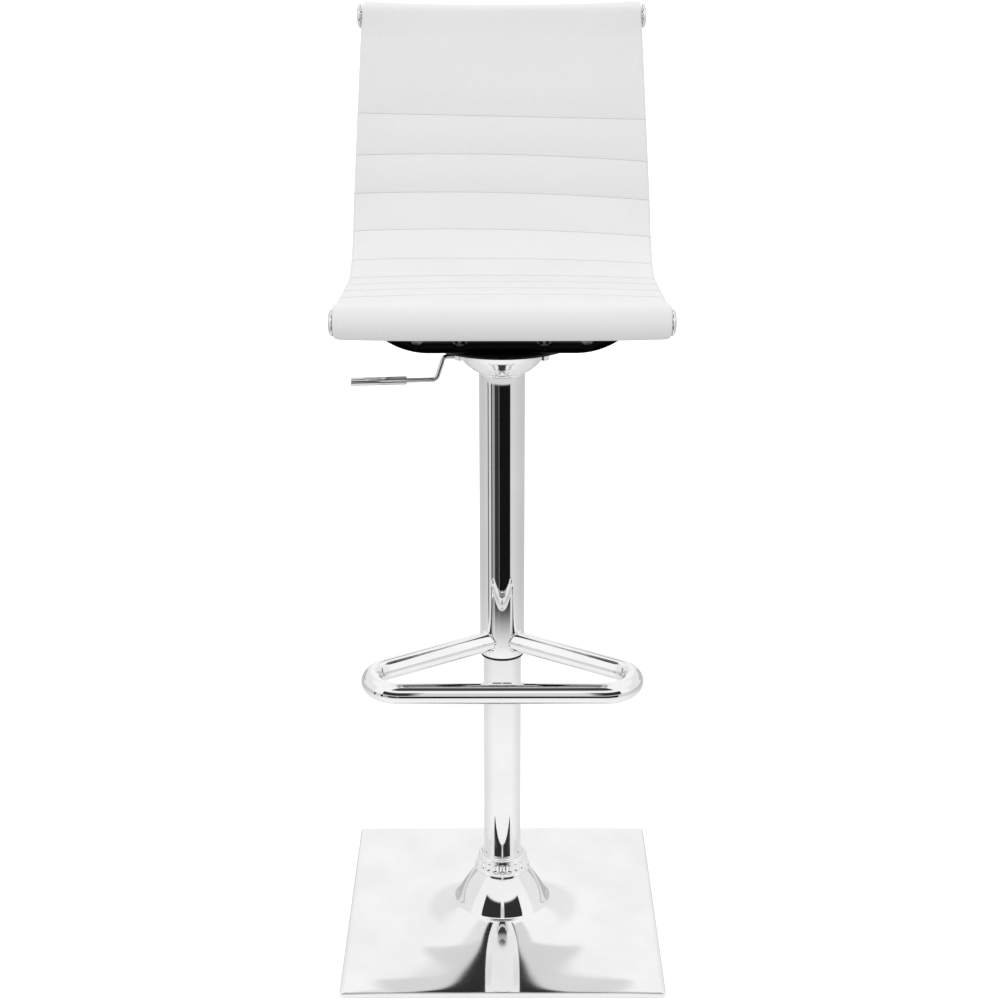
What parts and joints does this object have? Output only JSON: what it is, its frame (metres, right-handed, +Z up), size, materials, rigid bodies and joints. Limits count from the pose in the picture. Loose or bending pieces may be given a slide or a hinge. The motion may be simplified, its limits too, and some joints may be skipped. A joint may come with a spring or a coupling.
{
  "type": "adjustable swivel stool",
  "caption": "Swivel bar stool with an L-shaped channelled pad on a bent rail frame, gas-lift telescopic column, triangular footrest, side lever and weighted square base.",
  "frame": {"origin": "on the floor, on the column axis, at the centre of the square base", "axes": "+Z up along the column; the front of the stool faces -Y; the lift lever is on the -X side"},
  "size_m": [0.406, 0.4612, 1.1625],
  "materials": {
    "black_rubber": "matt soft black sheet",
    "base_chrome": "mirror chrome plating on stamped sheet",
    "ballast_steel": "black primed steel plate",
    "fastener_steel": "zinc-plated steel",
    "column_chrome": "mirror chrome plating on drawn tube",
    "collar_chrome": "mirror chrome plating on a dimpled cast ring",
    "black_plastic": "matt moulded black plastic",
    "bearing_steel": "ground steel",
    "brass": "stamped brass cage",
    "black_paint": "satin black paint",
    "footrest_chrome": "mirror chrome plating on bent tube with polished welds",
    "bell_chrome": "mirror chrome plating on a spun cover",
    "black_gloss": "deep gloss black powder coat",
    "bolt_chrome": "bright plated fasteners",
    "rail_chrome": "mirror chrome plating on flat bar and rod",
    "pad_leather": "soft white synthetic leather with fine grain, cross-stitched channels",
    "cap_chrome": "mirror chrome plating on domed caps",
    "lever_chrome": "mirror chrome plating on wire and sleeve"
  },
  "bodies": {
    "base": {"floor_pad": "black_rubber", "base_cover": "base_chrome", "ballast_plate": "ballast_steel", "flange_bolts": "fastener_steel", "column_flange": "ballast_steel", "lower_tube": "column_chrome", "guide_bush": "black_plastic", "collar_seal": "column_chrome", "base_collar": "collar_chrome", "bearing_lower_race": "bearing_steel", "bearing_cage": "brass", "bearing_balls": "bearing_steel"},
    "piston": {"piston_rod": "bearing_steel", "rod_clip": "fastener_steel", "bearing_upper_race": "bearing_steel", "rubber_buffer": "black_rubber"},
    "seat": {"gas_cylinder": "black_paint", "outer_tube": "column_chrome", "tube_end_bush": "black_plastic", "footrest_frame": "footrest_chrome", "bell_cover": "bell_chrome", "seat_pan": "black_gloss", "taper_socket": "black_paint", "lever_bracket": "black_paint", "pan_bolts": "bolt_chrome", "pan_nuts": "bolt_chrome", "spreader_front": "black_gloss", "spreader_rear": "black_gloss", "rail_bolts": "fastener_steel", "side_rail_left": "rail_chrome", "side_rail_right": "rail_chrome", "front_cross_rod": "rail_chrome", "top_cross_rod": "rail_chrome", "rod_plugs": "fastener_steel", "seat_pad": "pad_leather", "front_cap_left": "cap_chrome", "front_cap_right": "cap_chrome", "top_cap_left": "cap_chrome", "top_cap_right": "cap_chrome", "cap_screws": "bolt_chrome", "lever_spring": "bearing_steel", "lever_pivot_pin": "bearing_steel"},
    "lever": {"lever_rod": "lever_chrome", "lever_grip": "lever_chrome"},
    "valve": {"valve_pin": "bearing_steel"}
  },
  "joints": [
    {"name": "swivel", "type": "hinge", "parent": "base", "child": "piston", "pos_m": [0, 0, 0.018], "axis": [0, 0, 1], "continuous": true},
    {"name": "height", "type": "slide", "parent": "piston", "child": "seat", "axis": [0, 0, 1], "range_m": [-0.22, 0]},
    {"name": "lever_lift", "type": "hinge", "parent": "seat", "child": "lever", "pos_m": [-0.026, 0, 0.768], "axis": [0, 1, 0], "range_deg": [0, 6], "stiffness_Nm_per_rad": 1.5, "springref_deg": -8.59},
    {"name": "valve_press", "type": "slide", "parent": "seat", "child": "valve", "axis": [0, 0, -1], "range_m": [0, 0.003]}
  ],
  "couplings": [
    {"joint": "valve_press", "follows": "lever_lift", "m_per_rad": 0.026}
  ]
}
